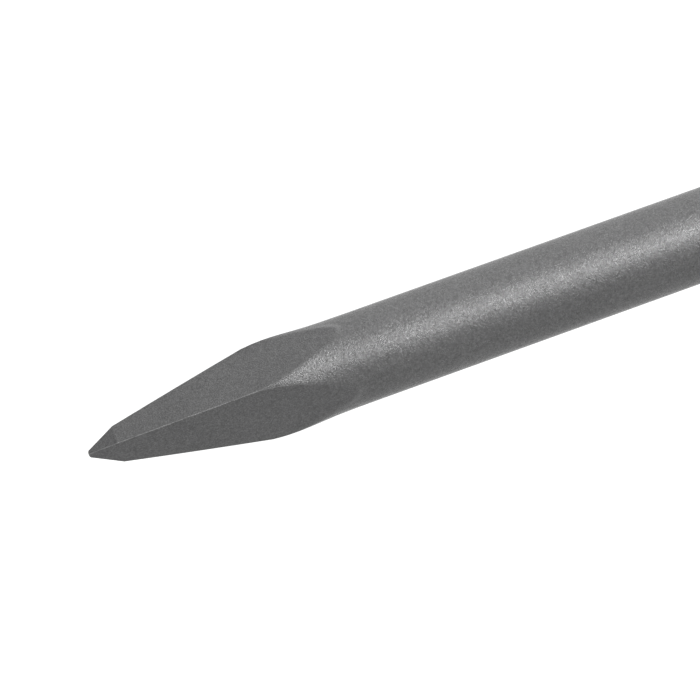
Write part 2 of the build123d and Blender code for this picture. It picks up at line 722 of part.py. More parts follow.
with BuildPart() as stator_core:
    with BuildSketch(front_plane(-12)):
        with Locations((0, motor_z)):
            Circle(drum_inner - 0.1)
            Circle(46, mode=Mode.SUBTRACT)
            # two pole shoes, above and below the armature
            with PolarLocations(41.5, 2, start_angle=90):
                Rectangle(15, 44)
            Circle(pole_radius, mode=Mode.SUBTRACT)
    extrude(amount=-60)
pieces["stator_core"] = stator_core

with BuildPart() as field_coils:
    for side in (1, -1):
        with BuildSketch(front_plane(-24)):
            with Locations((0, motor_z)):
                with PolarLocations(0, 1, start_angle=90 * side):
                    with Locations((30, 26.6), (30, -26.6)):
                        RectangleRounded(8, 7.6, 2)
        extrude(amount=-84)
        for y in (-24, 51):
            with BuildSketch(front_plane(y)):
                with Locations((0, motor_z)):
                    with PolarLocations(0, 1, start_angle=90 * side):
                        with Locations((34.5, 0)):
                            RectangleRounded(11, 60.8, 2)
            extrude(amount=-9)
pieces["field_coils"] = field_coils

with BuildPart() as armature_core:
    with BuildSketch(front_plane(-12)):
        with Locations((0, motor_z)):
            Circle(pole_radius - air_gap)
            Circle(9, mode=Mode.SUBTRACT)
            with PolarLocations(31, 12):
                Rectangle(7, 2.4, mode=Mode.SUBTRACT)
    extrude(amount=-60)
    with Locations(place(0, -18, motor_z, (0, 1, 0))):
        Cylinder(27, 6, align=UP)
    with Locations(place(0, 48, motor_z, (0, 1, 0))):
        Cylinder(27, 13, align=UP)
    with Locations(place(0, -18, motor_z, (0, 1, 0))):
        Cylinder(9, 90, align=UP, mode=Mode.SUBTRACT)
pieces["armature_core"] = armature_core

with BuildPart() as armature_shaft:
    add(spur_gear(motor_teeth, fine_module, 270 + 180 / motor_teeth, -76, -88, motor_z, 0).part)
    for y_from, y_to, radius in ((-76, -54, 7), (-54, -41, 8), (-41, 95, 9), (95, 109, 6)):
        with Locations(place(0, y_from, motor_z, (0, 1, 0))):
            Cylinder(radius, y_to - y_from, align=UP)
pieces["armature_shaft"] = armature_shaft

with BuildPart() as commutator:
    with BuildSketch(front_plane(64)):
        with Locations((0, motor_z)):
            Circle(18)
            Circle(9, mode=Mode.SUBTRACT)
            with PolarLocations(18, 24):
                Rectangle(2, 0.8, mode=Mode.SUBTRACT)
    extrude(amount=-28)
pieces["commutator"] = commutator

with BuildPart() as fan:
    with BuildSketch(front_plane(-37)):
        with Locations((0, motor_z)):
            Circle(50)
            Circle(9, mode=Mode.SUBTRACT)
    extrude(amount=-2)
    with BuildSketch(front_plane(-37)):
        with Locations((0, motor_z)):
            Circle(16)
            Circle(9, mode=Mode.SUBTRACT)
            with PolarLocations(33, 14):
                Rectangle(32, 1.6, rotation=20)
    extrude(amount=-11)
pieces["fan"] = fan

with BuildPart() as bearing_bracket:
    with BuildSketch(front_plane(97)):
        with Locations((0, motor_z)):
            Circle(17)
            with PolarLocations(34, 4, start_angle=45):
                Rectangle(42, 10)
    extrude(amount=-13)
    add(ring_y(97, 110, motor_z, 47, drum_inner - 0.1).part)
    with Locations(place(0, 98, motor_z, (0, 1, 0))):
        Cylinder(tail_bearing, 20, align=UP, mode=Mode.SUBTRACT)
    with Locations(place(0, 90, motor_z, (0, 1, 0))):
        Cylinder(10, 20, align=UP, mode=Mode.SUBTRACT)
    with BuildSketch(front_plane(110)):
        with Locations((0, motor_z)):
            with PolarLocations(tail_screw_circle, 4, start_angle=45):
                Circle(2.0)
    extrude(amount=12, mode=Mode.SUBTRACT)
pieces["bearing_bracket"] = bearing_bracket

with BuildPart() as brush_holders:
    for side in (1, -1):
        with Locations(place(20 * side, brush_y, motor_z, (side, 0, 0))):
            Cylinder(brush_bore - 0.1, 41, align=UP)
            Box(7.1, 11.1, 41, align=UP, mode=Mode.SUBTRACT)
pieces["brush_holders"] = brush_holders

with BuildPart() as carbon_brushes:
    for side in (1, -1):
        with Locations(place(18.1 * side, brush_y, motor_z, (side, 0, 0))):
            Box(7, 11, 22, align=UP)
pieces["carbon_brushes"] = carbon_brushes

with BuildPart() as brush_caps:
    for side in (1, -1):
        with Locations(place(61 * side, brush_y, motor_z, (side, 0, 0))):
            Cylinder(brush_bore - 0.1, 8, align=UP)
        with Locations(place(drum_radius * side + 4 * side, brush_y, motor_z, (side, 0, 0))):
            Cylinder(11, 3, align=UP)
            Box(14, 2.4, 3, align=UP, mode=Mode.SUBTRACT)
pieces["brush_caps"] = brush_caps

with BuildPart() as tail_cover:
    with BuildSketch(front_plane(motor_back)):
        with Locations((0, motor_z)):
            Circle(drum_radius)
    extrude(amount=motor_back - tail_back)
    fillet(tail_cover.faces().sort_by(Axis.Y)[-1].edges(), 16)
    offset(amount=-4, openings=tail_cover.faces().sort_by(Axis.Y)[0])
    with BuildSketch(front_plane(motor_back)):
        with Locations((0, motor_z)):
            with PolarLocations(tail_screw_circle, 4, start_angle=45):
                Circle(6)
    extrude(amount=motor_back - tail_back + 4)
    # air inlets
    for angle in range(10, 360, 20):
        if angle % 90 != 50 and angle % 90 != 40:
            x, z = drum_radius * cos(radians(angle)), drum_radius * sin(radians(angle))
            with Locations(Location((x, motor_back + 14, motor_z + z), (0, -angle, 0))):
                Box(14, 16, 5, mode=Mode.SUBTRACT)
    with BuildSketch(front_plane(tail_back)):
        with Locations((0, motor_z)):
            with GridLocations(0, 11, 1, 5):
                SlotOverall(50, 5)
    extrude(amount=8, mode=Mode.SUBTRACT)
    for radius, y in ((2.2, motor_back), (4.6, tail_back - 9)):
        with BuildSketch(front_plane(y)):
            with Locations((0, motor_z)):
                with PolarLocations(tail_screw_circle, 4, start_angle=45):
                    Circle(radius)
        extrude(amount=-50, mode=Mode.SUBTRACT)
pieces["tail_cover"] = tail_cover

pieces["tail_screws"] = group(
    socket_bolt(4, 42),
    [place(tail_screw_circle * cos(radians(a)), tail_back - 9,
           motor_z + tail_screw_circle * sin(radians(a)), (0, 1, 0)) for a in (45, 135, 225, 315)])

# ---------------------------------------------------------------- handle
eye_bottom, eye_top = 690.0, 716.0


def handle_bracket(side):
    """One leg of the handle: the eye on its guide rod, the leg, and the hub round the bar."""
    with BuildPart() as bracket:
        with BuildSketch(Plane.XY.offset(eye_bottom)):
            with Locations((rod_x * side, 0)):
                Circle(16)
            with Locations((leg_outer * side - 14 * side, 0)):
                Rectangle(28, 28)
            with Locations((rod_x * side + 14 * side, 0)):
                Rectangle(28, 30)
        extrude(amount=eye_top - eye_bottom)
        with Locations(((leg_inner + leg_outer) / 2 * side, 0, eye_bottom)):
            Box(leg_outer - leg_inner, 2 * frame_half_y, bar_z - eye_bottom, align=UP)
        fillet(bracket.edges().filter_by(Axis.Z).filter_by(lambda e: e.length > 150), 6)
        # lightening pocket in the outer face
        with BuildSketch(Plane.YZ.offset(leg_outer * side)):
            with Locations((0, (eye_top + bar_z) / 2 - 8)):
                SlotOverall(130, 18, rotation=90)
        extrude(amount=-5 * side, mode=Mode.SUBTRACT)
        with Locations(place(leg_inner * side - 4 * side, 0, bar_z, (side, 0, 0))):
            Cylinder(22, leg_outer - leg_inner + 4, align=UP)
            Cylinder(bar_radius, leg_outer - leg_inner + 4, align=UP, mode=Mode.SUBTRACT)
        with Locations((rod_x * side, 0, eye_bottom)):
            Cylinder(rod_radius + play, 60, align=UP, mode=Mode.SUBTRACT)
    return bracket


pieces["handle_bracket_left"] = handle_bracket(-1)
pieces["handle_bracket_right"] = handle_bracket(1)

with BuildPart() as guide_rods:
    for x, y in rod_places:
        with Locations((x, y, lower_lug_z)):
            Cylinder(rod_radius, crankcase_top - lower_lug_z, align=UP)
        for z in (lower_lug_z - 3, crankcase_top):
            with Locations((x, y, z)):
                Cylinder(rod_radius + 3, 3, align=UP)
pieces["guide_rods"] = guide_rods


def coil_springs(z_from, z_to, radius, wire, turns):
    """A pair of coil springs, one round each guide rod."""
    height = z_to - z_from - 2 * wire
    with BuildPart() as springs:
        for x, y in rod_places:
            with BuildLine() as path:
                Helix(height / turns, height, radius, center=(x, y, z_from + wire))
            with BuildSketch(Plane(origin=path.line @ 0, z_dir=path.line % 0)):
                Circle(wire)
            sweep(path=path.line, is_frenet=True)
    return springs


pieces["lower_springs"] = coil_springs(lower_lug_z + lug_height + 0.3, eye_bottom - 0.3, 11.5, 1.6, 4)
pieces["upper_springs"] = coil_springs(eye_top + 0.3, crankcase_top - lug_height - 0.3, 11.5, 1.4, 4)

with BuildPart() as handle_bar:
    with Locations(place(-grip_end + 3, 0, bar_z, (1, 0, 0))):
        Cylinder(bar_radius, 2 * grip_end - 6, align=UP)
        Cylinder(bar_radius - 2.5, 2 * grip_end - 6, align=UP, mode=Mode.SUBTRACT)
pieces["handle_bar"] = handle_bar


def grip(side):
    """A rubber sleeve over the bar's end, with a flange at both ends."""
    with BuildPart() as sleeve:
        with BuildSketch(Plane.XZ):
            with BuildLine():
                Polyline((grip_start, bar_radius), (grip_start, grip_radius + 4),
                         (grip_start + 4, grip_radius + 4), (grip_start + 8, grip_radius),
                         (grip_end - 8, grip_radius))
                RadiusArc((grip_end - 8, grip_radius), (grip_end, grip_radius + 2), -12)
                Polyline((grip_end, grip_radius + 2), (grip_end + 4, grip_radius - 2), (grip_end + 4, 0),
                         (grip_end - 3, 0), (grip_end - 3, bar_radius), (grip_start, bar_radius))
            make_face()
        revolve(axis=Axis.X)
    placed = sleeve.part.moved(Location((0, 0, bar_z)))
    with BuildPart() as rubber:
        add(placed if side > 0 else placed.mirror(Plane.YZ))
    return rubber


pieces["grip_left"] = grip(-1)
pieces["grip_right"] = grip(1)

# ---------------------------------------------------------------- switch
switch_left, switch_right = 133.0, 166.0
switch_bottom, switch_top = 864.0, 928.0
hinge_x, hinge_z = 157.0, 855.0
gland_x, gland_z = 149.5, 880.0
with BuildPart() as switch_housing:
    with Locations(((switch_left + switch_right) / 2, 0, switch_bottom)):
        Box(switch_right - switch_left, 46, switch_top - switch_bottom, align=UP)
    fillet(switch_housing.edges().filter_by(Axis.X), 10)
    fillet(switch_housing.edges().filter_by(Axis.Z), 2)
    with Locations(((switch_left + switch_right) / 2, 0, switch_bottom + 3)):
        Box(switch_right - switch_left - 6, 38, 24, align=UP, mode=Mode.SUBTRACT)
    with Locations(place(switch_left, 0, bar_z, (1, 0, 0))):
        Cylinder(bar_radius, 60, align=UP, mode=Mode.SUBTRACT)
    # ears for the trigger's pin
    for y in (-15, 15):
        with BuildSketch(Plane.XZ.offset(-y)):
            with Locations((hinge_x, hinge_z)):
                Circle(7)
            with Locations((hinge_x, (hinge_z + switch_bottom) / 2 + 1)):
                Rectangle(14, switch_bottom - hinge_z + 2)
            with Locations((hinge_x, hinge_z)):
                Circle(3.0, mode=Mode.SUBTRACT)
        extrude(amount=2.5, both=True)
    with Locations(place(gland_x, 23, gland_z, (0, 1, 0))):
        Cylinder(7.0, 20, mode=Mode.SUBTRACT)
    with Locations(place(gland_x, -23, gland_z, (0, 1, 0))):
        Cylinder(5.3, 20, mode=Mode.SUBTRACT)
pieces["switch_housing"] = switch_housing

with BuildPart() as cord_gland:
    with Locations(place(gland_x, 18, gland_z, (0, 1, 0))):
        Cylinder(7.0, 5, align=UP)
    with BuildSketch(front_plane(23)):
        with Locations((gland_x, gland_z)):
            RegularPolygon(9.5, 6, major_radius=False)
    extrude(amount=-5)
    with Locations(place(gland_x, 28, gland_z, (0, 1, 0))):
        Cone(9, 7, 14, align=UP)
    with Locations(place(gland_x, 18, gland_z, (0, 1, 0))):
        Cylinder(4.5, 24, align=UP, mode=Mode.SUBTRACT)
pieces["cord_gland"] = cord_gland

with BuildPart() as switch_module:
    with Locations((gland_x, -2, switch_bottom + 3)):
        Box(22, 14, 8, align=UP)
pieces["switch_module"] = switch_module

with BuildPart() as lock_button:
    with Locations(place(gland_x, -28, gland_z, (0, 1, 0))):
        Cylinder(5.0, 11, align=UP)
    with Locations(place(gland_x, -18.7, gland_z, (0, 1, 0))):
        Cylinder(7.0, 2, align=UP)
    fillet(lock_button.faces().sort_by(Axis.Y)[0].edges(), 1.5)
pieces["lock_button"] = lock_button

with BuildPart() as trigger_pin:
    with Locations(place(hinge_x, 0, hinge_z, (0, 1, 0))):
        Cylinder(2.95, 38)
pieces["trigger_pin"] = trigger_pin

trigger_end = 256.0
with BuildPart() as trigger:
    with BuildSketch(Plane.XZ):
        with Locations((hinge_x, hinge_z)):
            Circle(6.5)
        with Locations((hinge_x + 24, hinge_z + 4)):
            Circle(5)
        make_hull()
    extrude(amount=12, both=True)
    with BuildSketch(Plane.XZ):
        with BuildLine():
            Polyline((hinge_x + 20, hinge_z + 10), (trigger_end - 10, hinge_z + 10))
            RadiusArc((trigger_end - 10, hinge_z + 10), (trigger_end, hinge_z + 2), 14)
            Polyline((trigger_end, hinge_z + 2), (trigger_end - 4, hinge_z),
                     (trigger_end - 14, hinge_z + 5), (hinge_x + 30, hinge_z + 3),
                     (hinge_x + 20, hinge_z + 1.5), (hinge_x + 20, hinge_z + 10))
        make_face()
    extrude(amount=14, both=True)
    with Locations(place(hinge_x, 0, hinge_z, (0, 1, 0))):
        Cylinder(3.05, 60, mode=Mode.SUBTRACT)
pieces["trigger"] = trigger

os.makedirs("parts", exist_ok=True)
for name, piece in pieces.items():
    piece.part.label = name
    export_step(piece.part, f"parts/{name}.step")
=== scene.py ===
import bmesh
import bpy
import json
from math import cos, pi, radians, sin
from mathutils import Matrix, Vector


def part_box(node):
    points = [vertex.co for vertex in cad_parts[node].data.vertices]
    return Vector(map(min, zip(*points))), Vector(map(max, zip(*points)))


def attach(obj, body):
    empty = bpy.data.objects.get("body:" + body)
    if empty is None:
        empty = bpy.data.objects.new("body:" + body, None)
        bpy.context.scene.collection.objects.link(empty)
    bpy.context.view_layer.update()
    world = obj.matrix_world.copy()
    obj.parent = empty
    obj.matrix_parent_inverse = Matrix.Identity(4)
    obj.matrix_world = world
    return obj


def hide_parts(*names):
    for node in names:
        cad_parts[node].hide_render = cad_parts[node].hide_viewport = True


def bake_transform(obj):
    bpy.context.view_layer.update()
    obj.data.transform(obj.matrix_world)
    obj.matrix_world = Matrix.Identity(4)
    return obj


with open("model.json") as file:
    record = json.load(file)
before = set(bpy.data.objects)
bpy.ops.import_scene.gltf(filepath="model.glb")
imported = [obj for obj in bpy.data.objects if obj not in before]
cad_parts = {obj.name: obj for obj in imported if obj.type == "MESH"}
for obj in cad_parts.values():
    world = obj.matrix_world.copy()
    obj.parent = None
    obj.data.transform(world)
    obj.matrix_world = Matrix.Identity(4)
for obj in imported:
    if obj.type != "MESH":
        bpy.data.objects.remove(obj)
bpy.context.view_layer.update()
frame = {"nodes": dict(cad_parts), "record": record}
nodes = frame["nodes"]

# ---------------------------------------------------------------- materials


class Nodes:
    """A short way to write the node tree of a material or a world."""

    def __init__(self, owner):
        owner.use_nodes = True
        self.tree = owner.node_tree
        self.tree.nodes.clear()

    def add(self, kind, settings=(), **inputs):
        """A node with its settings made, and its inputs set to values or linked to other sockets."""
        node = self.tree.nodes.new("ShaderNode" + kind)
        for key, value in dict(settings).items():
            setattr(node, key, value)
        for key, value in inputs.items():
            socket = node.inputs[int(key[1:])] if key[1:].isdigit() else node.inputs[key.replace("_", " ")]
            if isinstance(value, bpy.types.NodeSocket):
                self.tree.links.new(value, socket)
            else:
                socket.default_value = value
        return node

    def math(self, operation, a, b=0.0):
        return self.add("Math", {"operation": operation}, i0=a, i1=b).outputs[0]

    def noise(self, place, scale, detail=2.0, roughness=0.5):
        """Noise of 0 to 1 with features of about 1/scale metres."""
        node = self.add("TexNoise", Vector=place, Scale=scale, Detail=detail, Roughness=roughness)
        return node.outputs["Fac"]

    def spread(self, value, low, high, to_low, to_high):
        """Maps the range low to high onto to_low to to_high, and stops at its ends."""
        node = self.add("MapRange", {"clamp": True}, i0=value, i1=low, i2=high, i3=to_low, i4=to_high)
        return node.outputs[0]

    def mix(self, factor, a, b):
        """Colour a where the factor is 0, and colour b where it is 1."""
        return self.add("Mix", {"data_type": "RGBA"}, i0=factor, i6=a, i7=b).outputs[2]

    def bump(self, height, depth, normal):
        """The normal of a surface whose height varies by up to depth millimetres."""
        return self.add("Bump", Strength=1.0, Distance=depth * 0.001, Height=height, Normal=normal).outputs[0]

    def rounded(self, radius, samples):
        """The normal of a surface whose edges are rounded to this radius."""
        return self.add("Bevel", {"samples": samples}, Radius=radius).outputs[0]

    def edges(self, rounded, start, full, most=1.0):
        """Rises from 0 to most where the rounded normal leaves the true one, between two cosines."""
        flat = self.add("NewGeometry").outputs["Normal"]
        agree = self.add("VectorMath", {"operation": "DOT_PRODUCT"}, i0=rounded, i1=flat).outputs["Value"]
        return self.spread(agree, start, full, 0.0, most)

    def finish(self, shader):
        """Ends a material's tree with this shader."""
        self.tree.links.new(shader.outputs[0], self.add("OutputMaterial").inputs["Surface"])


def shade(colour, factor=1.0):
    """A colour made lighter or darker, as RGBA."""
    return tuple(min(1.0, c * factor) for c in colour) + (1.0,)


NOISE_RANGE = (0.3, 0.7)                    # nearly all values of a noise are between these
EDGE_START, EDGE_FULL = 0.995, 0.93         # cosines between the rounded and the true normal
SCUFF_SCALE = 300.0                         # edges are worn in patches 3 mm long
CORNER_REACH = 0.012                        # painted shade darkens surfaces this near to other surfaces
# the share of the colour left where the painted shade in corners is deepest
PAINTED_SHADE_FACTOR = 0.25
COAT_ROUGHNESS = 0.25


def surface(name, colour, metallic=0.0, roughness=0.5, rough_range=0.08, mottle=0.12, patch=45.0,
            grain=1400.0, grain_depth=0.05, lumps=260.0, lump_depth=0.0, edge=0.0006, worn=None,
            wear=0.5, brushed=None, coat=0.0, specular=0.5, painted_corner_shade=0.0):
    """A finish with patches of slightly different colour, a fine grain, rounded and worn edges, and
    painted shade in its corners."""
    material = bpy.data.materials.new(name)
    n = Nodes(material)
    place = n.add("TexCoord").outputs["Object"]
    if brushed:
        stretched = n.add("Mapping", Vector=place, Scale=brushed).outputs[0]
    else:
        stretched = place
    patches = n.noise(place, patch, 4.0, 0.6)
    fine = n.noise(stretched, grain, 2.0, 0.6)
    rounded = n.rounded(edge, samples=6)

    base = n.mix(patches, shade(colour, 1 - mottle), shade(colour, 1 + mottle))
    base = n.mix(n.spread(fine, *NOISE_RANGE, 0.0, 0.5), base, shade(colour, 1 - mottle * 1.5))
    if worn:
        scuffs = n.spread(n.noise(place, SCUFF_SCALE, 3.0, 0.7), 0.42, 0.62, 0.0, 1.0)
        scuffed = n.math("MULTIPLY", n.edges(rounded, EDGE_START, EDGE_FULL), scuffs)
        base = n.mix(n.math("MULTIPLY", scuffed, wear), base, shade(worn))
    # painted shade: the colour darkens in corners, where other surfaces are near
    if painted_corner_shade:
        nearby = n.add("AmbientOcclusion", {"samples": 4}, Distance=CORNER_REACH, Normal=rounded)
        cover = n.spread(patches, 0.3, 0.6, 0.5, 1.0)
        painted_shade = n.math("MULTIPLY", n.spread(nearby.outputs["AO"], 0.35, 0.85, painted_corner_shade, 0.0), cover)
        base = n.mix(painted_shade, base, shade(colour, PAINTED_SHADE_FACTOR))
    rough = n.spread(patches, *NOISE_RANGE, roughness - rough_range, roughness + rough_range)
    normal = n.bump(fine, grain_depth, rounded)
    if lump_depth:
        normal = n.bump(n.noise(place, lumps, 2.0, 0.5), lump_depth, normal)
    n.finish(n.add("BsdfPrincipled", Base_Color=base, Metallic=metallic, Roughness=rough, Normal=normal,
                   Coat_Weight=coat, Coat_Roughness=COAT_ROUGHNESS, Specular_IOR_Level=specular))
    return material


PIT_SCALE, PIT_DEPTH = 2100.0, 0.195        # pits half a millimetre across, and their depth in mm
DENT_SCALE, DENT_DEPTH = 330.0, 0.075       # dents 3 mm across
PATCH_SCALE, MILL_SCALE, STREAK_SCALE = 45.0, 800.0, 420.0
STREAK_STRETCH = 0.12                       # how fast streaks change along the bar, beside across it
CRISP_EDGE, SOFT_EDGE = 0.0006, 0.0022      # radii of the point's edges and of the flats' far ends
RUNOUT_LOW, RUNOUT_HIGH = 0.050, 0.060      # heights between which the edges turn soft
FLAT_START, FLAT_FULL = -0.105, -0.125      # the normal's Z where a flat starts, and well on it
RIM_START, RIM_FULL, RIM_FADES, RIM_END = -0.01, -0.05, -0.09, -0.12        # and across a flat's rim
RIM_LOW, RIM_HIGH = 0.062, 0.070            # the painted highlight on the flats' rims shows between these heights
RIM_INNER, RIM_OUTER = 0.0085, 0.0115       # and between these distances along X from its middle
DIMMER_RIM_HIGHLIGHT = 0.45                           # how bright the painted rim highlight at +X is beside that at -X, where the light falls
FORGED = (0.157, 0.157, 0.158)
GRAZING_TINT = (0.72, 0.72, 0.72)           # how much of a mirror the rough surface is edge on


def forged_steel():
    """The chisel's blasted dark steel: sparkling pits, shallow dents from the hammer, and duller flats."""
    material = bpy.data.materials.new("forged_steel")
    n = Nodes(material)
    place = n.add("TexCoord").outputs["Object"]
    across, _, height = n.add("SeparateXYZ", i0=place).outputs

    # the point's edges are crisp, but its flats fade softly into the bar
    crisp = n.rounded(CRISP_EDGE, samples=8)
    soft = n.rounded(SOFT_EDGE, samples=8)
    runout = n.spread(height, RUNOUT_LOW, RUNOUT_HIGH, 0.0, 1.0)
    rounded = n.add("Mix", {"data_type": "VECTOR"}, i0=runout, i4=crisp, i5=soft).outputs[1]

    # the normal leans down furthest on the flats, and less on the rims between them and the bar
    lean = n.add("SeparateXYZ", i0=rounded).outputs["Z"]
    flats = n.spread(lean, FLAT_START, FLAT_FULL, 0.0, 1.0)
    below_bar = n.spread(lean, RIM_START, RIM_FULL, 0.0, 1.0)
    between = n.math("MULTIPLY", below_bar, n.spread(lean, RIM_END, RIM_FADES, 0.0, 1.0))

    pits = n.noise(place, PIT_SCALE, 2.0, 0.65)
    dents = n.noise(place, DENT_SCALE, 3.0, 0.6)
    patches = n.noise(place, PATCH_SCALE, 4.0, 0.6)
    scale = n.noise(place, MILL_SCALE, 2.0, 0.5)
    lengthwise = n.add("Mapping", Vector=place, Scale=(1.0, 1.0, STREAK_STRETCH)).outputs[0]
    streaks = n.noise(lengthwise, STREAK_SCALE, 3.0, 0.6)

    # each layer has its source, the range of it that counts, its share at both ends, and its shade
    layers = (
        (pits, 0.30, 0.50, 0.62, 0.0, 0.55),        # shadow in the pits
        (pits, 0.50, 0.70, 0.0, 0.66, 1.55),        # sparkle between them
        (streaks, 0.62, 0.76, 0.0, 0.22, 1.5),      # marks from the rolls
        (scale, 0.30, 0.55, 0.43, 0.0, 0.60),       # what is left of the mill scale
        (flats, 0.0, 1.0, 0.0, 0.12, 0.80),
    )
    base = n.mix(n.spread(patches, *NOISE_RANGE, 0.0, 1.0), shade(FORGED, 0.93), shade(FORGED, 1.07))
    for source, low, high, share_low, share_high, lightness in layers:
        base = n.mix(n.spread(source, low, high, share_low, share_high), base, shade(FORGED, lightness))

    # edges painted lighter: wear, more so on the high spots, and a painted highlight along the point's edges
    rubbed_and_highlit = n.math("MULTIPLY", n.edges(crisp, 0.99, 0.90, 0.8), n.spread(dents, 0.35, 0.6, 0.3, 1.0))
    base = n.mix(rubbed_and_highlit, base, shade(FORGED, 2.4))

    # painted highlight on the flats' rims, on the bar's two outer sides, brighter on the lit -X side
    outer = n.math("MULTIPLY", n.spread(height, RIM_LOW, RIM_HIGH, 0.0, 1.0),
                   n.spread(n.math("ABSOLUTE", across), RIM_INNER, RIM_OUTER, 0.0, 1.0))
    lit_side = n.spread(across, 0.0, RIM_INNER, 1.0, DIMMER_RIM_HIGHLIGHT)
    rim_highlight = n.math("MULTIPLY", n.math("MULTIPLY", between, outer), lit_side)
    base = n.mix(rim_highlight, base, shade(FORGED, 1.6))

    rough = n.math("ADD", n.spread(dents, *NOISE_RANGE, 0.23, 0.31), n.math("MULTIPLY", flats, 0.15))
    normal = n.bump(dents, DENT_DEPTH, n.bump(pits, PIT_DEPTH, rounded))
    n.finish(n.add("BsdfPrincipled", Base_Color=base, Metallic=1.0, Roughness=rough, Normal=normal,
                   Specular_Tint=shade(GRAZING_TINT)))
    return material


BARE = (0.42, 0.42, 0.43)                   # steel or alloy with its coating rubbed off
finishes = {
    "forged_steel": forged_steel(),
    "ground_steel": surface("ground_steel", (0.56, 0.56, 0.57), metallic=1.0, roughness=0.24, mottle=0.05,
                            brushed=(1.0, 1.0, 12.0), grain_depth=0.006),
    "hard_steel": surface("hard_steel", (0.33, 0.33, 0.34), metallic=1.0, roughness=0.34, grain_depth=0.012,
                          worn=BARE),
    "black_steel": surface("black_steel", (0.035, 0.035, 0.037), metallic=0.8, roughness=0.42,
                           grain_depth=0.012, worn=(0.2, 0.2, 0.2), wear=0.7),
    "zinc_steel": surface("zinc_steel", (0.36, 0.36, 0.34), metallic=1.0, roughness=0.48, grain_depth=0.02,
                          worn=BARE, painted_corner_shade=0.4),
    "cast_alloy": surface("cast_alloy", (0.29, 0.295, 0.30), metallic=0.85, roughness=0.46, mottle=0.10,
                          grain=1100.0, grain_depth=0.16, lump_depth=0.10, edge=0.0010,
                          worn=(0.55, 0.55, 0.55), painted_corner_shade=0.75),
    "dark_alloy": surface("dark_alloy", (0.021, 0.023, 0.026), roughness=0.40, mottle=0.14, grain=900.0,
                          grain_depth=0.12, lump_depth=0.06, edge=0.0010, worn=(0.12, 0.12, 0.12), wear=0.5,
                          specular=0.42, painted_corner_shade=0.5),
    "housing_plastic": surface("housing_plastic", (0.62, 0.17, 0.009), roughness=0.42, mottle=0.06,
                               grain=1500.0, grain_depth=0.06, edge=0.0010, worn=(0.75, 0.42, 0.2),
                               wear=0.35, specular=0.45, painted_corner_shade=0.6),
    "black_plastic": surface("black_plastic", (0.013, 0.013, 0.014), roughness=0.48, mottle=0.15,
                             grain=1500.0, grain_depth=0.10, edge=0.0008, worn=(0.11, 0.11, 0.11),
                             wear=0.5, specular=0.42, painted_corner_shade=0.4),
    "rubber": surface("rubber", (0.011, 0.011, 0.012), roughness=0.68, mottle=0.25, grain=1300.0,
                      grain_depth=0.12, edge=0.0008, worn=(0.06, 0.06, 0.06), specular=0.35, painted_corner_shade=0.4),
    "polymer_ring": surface("polymer_ring", (0.62, 0.57, 0.45), roughness=0.4),
    "red_plastic": surface("red_plastic", (0.5, 0.022, 0.014), roughness=0.3, coat=0.3),
    "copper": surface("copper", (0.62, 0.27, 0.12), metallic=1.0, roughness=0.32, grain_depth=0.02),
    "laminations": surface("laminations", (0.30, 0.30, 0.31), metallic=1.0, roughness=0.4,
                           brushed=(0.05, 1.0, 0.05), grain_depth=0.05),
    "carbon": surface("carbon", (0.03, 0.03, 0.03), roughness=0.6),
}


def clear_glass():
    """The sight glass."""
    material = bpy.data.materials.new("glass")
    n = Nodes(material)
    place = n.add("TexCoord").outputs["Object"]
    smears = n.spread(n.noise(place, 120.0), *NOISE_RANGE, 0.03, 0.12)
    n.finish(n.add("BsdfPrincipled", Base_Color=(0.75, 0.62, 0.35, 1.0), Roughness=smears,
                   Transmission_Weight=0.6, IOR=1.5))
    return material


finishes["glass"] = clear_glass()

for part in frame["record"]["subparts"]:
    mesh = nodes[part["node"]].data
    mesh.materials.clear()
    mesh.materials.append(finishes[part["material_slot"]])

# ---------------------------------------------------------------- pieces in place of CAD nodes


def closed_piece(name, vertices, faces, slot):
    """A smooth closed object with its faces turned outward."""
    mesh = bpy.data.meshes.new(name)
    mesh.from_pydata(vertices, [], faces)
    shape = bmesh.new()
    shape.from_mesh(mesh)
    bmesh.ops.recalc_face_normals(shape, faces=shape.faces)
    shape.to_mesh(mesh)
    shape.free()
    mesh.shade_smooth()
    mesh.materials.append(finishes[slot])
    piece = bpy.data.objects.new(name, mesh)
    bpy.context.collection.objects.link(piece)
    return piece


# ---------------------------------------------------------------- moulded grips
bar_low, bar_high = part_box("handle_bar")
bar_z = (bar_low[2] + bar_high[2]) / 2
bar_radius = (bar_high[2] - bar_low[2]) / 2
GRIP_STEPS = 72             # facets round a grip


def lathe(outline):
    """The vertices and faces of a closed surface turned about the handle's bar, from an outline of
    (x, radius) whose ends are on the bar's axis."""
    vertices, faces, rings = [], [], []
    for x, radius in outline:
        count = GRIP_STEPS if radius > 0 else 1
        rings.append(range(len(vertices), len(vertices) + count))
        for k in range(count):
            angle = 2 * pi * k / GRIP_STEPS
            vertices.append((x, radius * sin(angle), bar_z + radius * cos(angle)))
    for ring, after in zip(rings, rings[1:]):
        for k in range(GRIP_STEPS):
            corners = [ring[k % len(ring)], ring[(k + 1) % len(ring)], after[(k + 1) % len(after)],
                       after[k % len(after)]]
            faces.append(list(dict.fromkeys(corners)))
    return vertices, faces


